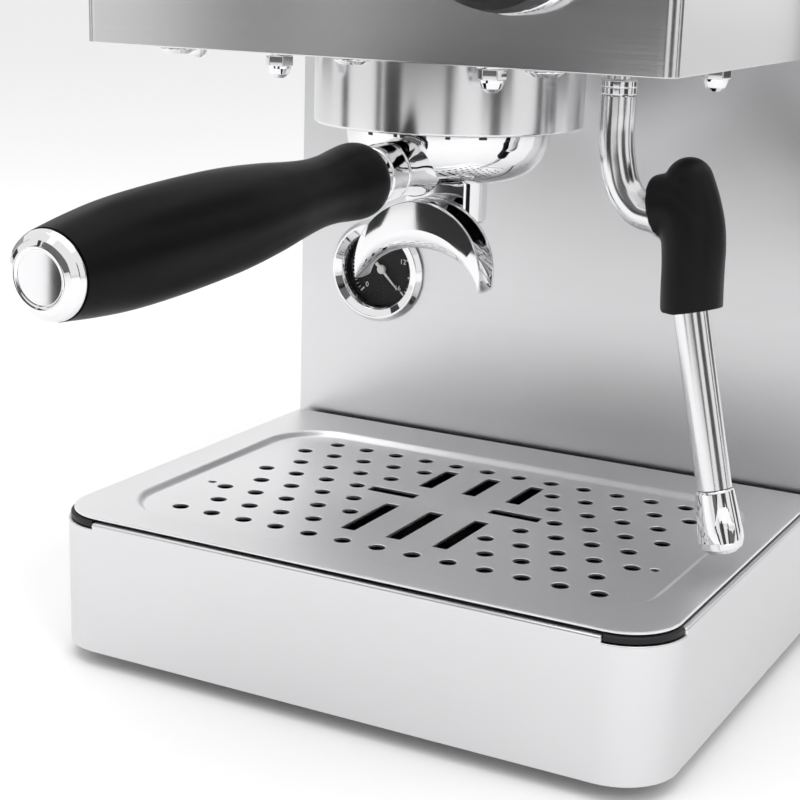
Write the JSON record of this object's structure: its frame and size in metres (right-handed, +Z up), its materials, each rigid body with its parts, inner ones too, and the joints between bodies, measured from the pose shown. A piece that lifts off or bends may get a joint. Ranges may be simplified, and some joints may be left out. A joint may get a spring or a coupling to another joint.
{
  "type": "espresso machine",
  "caption": "Steel home espresso machine with a lever-locked portafilter and twin spout, swivelling steam wand, pressure gauge and pull-out drip tray.",
  "frame": {"origin": "on the counter, under the middle of the machine's overall box", "axes": "+X to the machine's right as seen from the front, +Y from the front to the back, +Z up"},
  "size_m": [0.2311, 0.5242, 0.34],
  "materials": {
    "brushed_steel": "fine straight brushed grain",
    "polished_chrome": "mirror polish",
    "black_plastic": "satin black",
    "black_rubber": "matte",
    "brass": "machined",
    "dial_black": "printed black with a white scale",
    "pointer_white": "painted white",
    "clear_glass": "clear",
    "smoky_plastic": "translucent smoky plastic",
    "amber_lens": "amber lens",
    "circuit_green": "coated board",
    "hose_white": "silicone hose"
  },
  "bodies": {
    "root": {"chassis_floor": "brushed_steel", "splash_panel": "brushed_steel", "body_shell": "brushed_steel", "tank_shelf": "brushed_steel", "head_shell": "brushed_steel", "head_bottom_plate": "brushed_steel", "cup_tray": "brushed_steel", "shower_screen": "brushed_steel", "screen_screw": "brushed_steel", "heating_element": "brushed_steel", "gauge_bezel": "polished_chrome", "group_bell": "polished_chrome", "group_nut_front_left": "polished_chrome", "group_nut_front_right": "polished_chrome", "group_nut_rear_left": "polished_chrome", "group_nut_rear_right": "polished_chrome", "wand_collar": "polished_chrome", "gauge_case": "black_plastic", "switch_frame": "black_plastic", "brew_thermostat": "black_plastic", "steam_thermostat": "black_plastic", "solenoid_valve": "black_plastic", "pump": "black_plastic", "power_inlet": "black_plastic", "foot_front_left": "black_rubber", "foot_front_right": "black_rubber", "foot_rear_left": "black_rubber", "foot_rear_right": "black_rubber", "group_gasket": "black_rubber", "group_body": "brass", "steam_valve_body": "brass", "boiler": "brass", "feed_pipe": "brass", "steam_pipe": "brass", "gauge_dial": "dial_black", "gauge_glass": "clear_glass", "power_lamp": "amber_lens", "control_board": "circuit_green", "suction_hose": "hose_white"},
    "tray": {"tray_housing": "brushed_steel", "drip_pan": "black_plastic"},
    "grille": {"drip_grille": "brushed_steel"},
    "portafilter": {"portafilter_body": "polished_chrome", "filter_basket": "brushed_steel", "double_spout": "polished_chrome", "handle_ferrule": "polished_chrome", "handle_grip": "black_plastic", "handle_end_cap": "polished_chrome"},
    "steam_wand": {"steam_tube": "polished_chrome", "wand_grip": "black_rubber", "steam_nozzle": "polished_chrome"},
    "knob": {"steam_knob": "black_plastic", "knob_ring": "polished_chrome", "valve_spindle": "brass"},
    "power_rocker": {"power_switch": "black_plastic"},
    "brew_rocker": {"brew_switch": "black_plastic"},
    "steam_rocker": {"steam_switch": "black_plastic"},
    "needle": {"gauge_pointer": "pointer_white"},
    "tank": {"water_tank": "smoky_plastic"},
    "lid": {"tank_lid": "brushed_steel"}
  },
  "joints": [
    {"name": "tray_pull", "type": "slide", "parent": "root", "child": "tray", "axis": [0, -1, 0], "range_m": [0, 0.165]},
    {"name": "grille_lift", "type": "slide", "parent": "tray", "child": "grille", "axis": [0, 0, 1], "range_m": [0, 0.006]},
    {"name": "portafilter_turn", "type": "hinge", "parent": "root", "child": "portafilter", "pos_m": [0, -0.04906, 0.19], "axis": [0, 0, 1], "range_deg": [-50, 0]},
    {"name": "wand_swivel", "type": "hinge", "parent": "root", "child": "steam_wand", "pos_m": [0.0624, -0.05306, 0.212], "axis": [0, 0, 1], "range_deg": [-75, 60]},
    {"name": "knob_turn", "type": "hinge", "parent": "root", "child": "knob", "pos_m": [0.054, -0.12506, 0.258], "axis": [0, -1, 0], "range_deg": [0, 450]},
    {"name": "power_rock", "type": "hinge", "parent": "root", "child": "power_rocker", "pos_m": [-0.075, -0.10906, 0.29], "axis": [1, 0, 0], "range_deg": [0, 14]},
    {"name": "brew_rock", "type": "hinge", "parent": "root", "child": "brew_rocker", "pos_m": [-0.048, -0.10906, 0.29], "axis": [1, 0, 0], "range_deg": [0, 14]},
    {"name": "steam_rock", "type": "hinge", "parent": "root", "child": "steam_rocker", "pos_m": [-0.021, -0.10906, 0.29], "axis": [1, 0, 0], "range_deg": [0, 14]},
    {"name": "needle_turn", "type": "hinge", "parent": "root", "child": "needle", "pos_m": [-0.078, 0.04794, 0.1193], "axis": [0, 1, 0], "range_deg": [-270, 0]},
    {"name": "tank_lift", "type": "slide", "parent": "root", "child": "tank", "axis": [0, 0, 1], "range_m": [0, 0.29]},
    {"name": "lid_lift", "type": "slide", "parent": "tank", "child": "lid", "axis": [0, 0, 1], "range_m": [0, 0.05]}
  ]
}
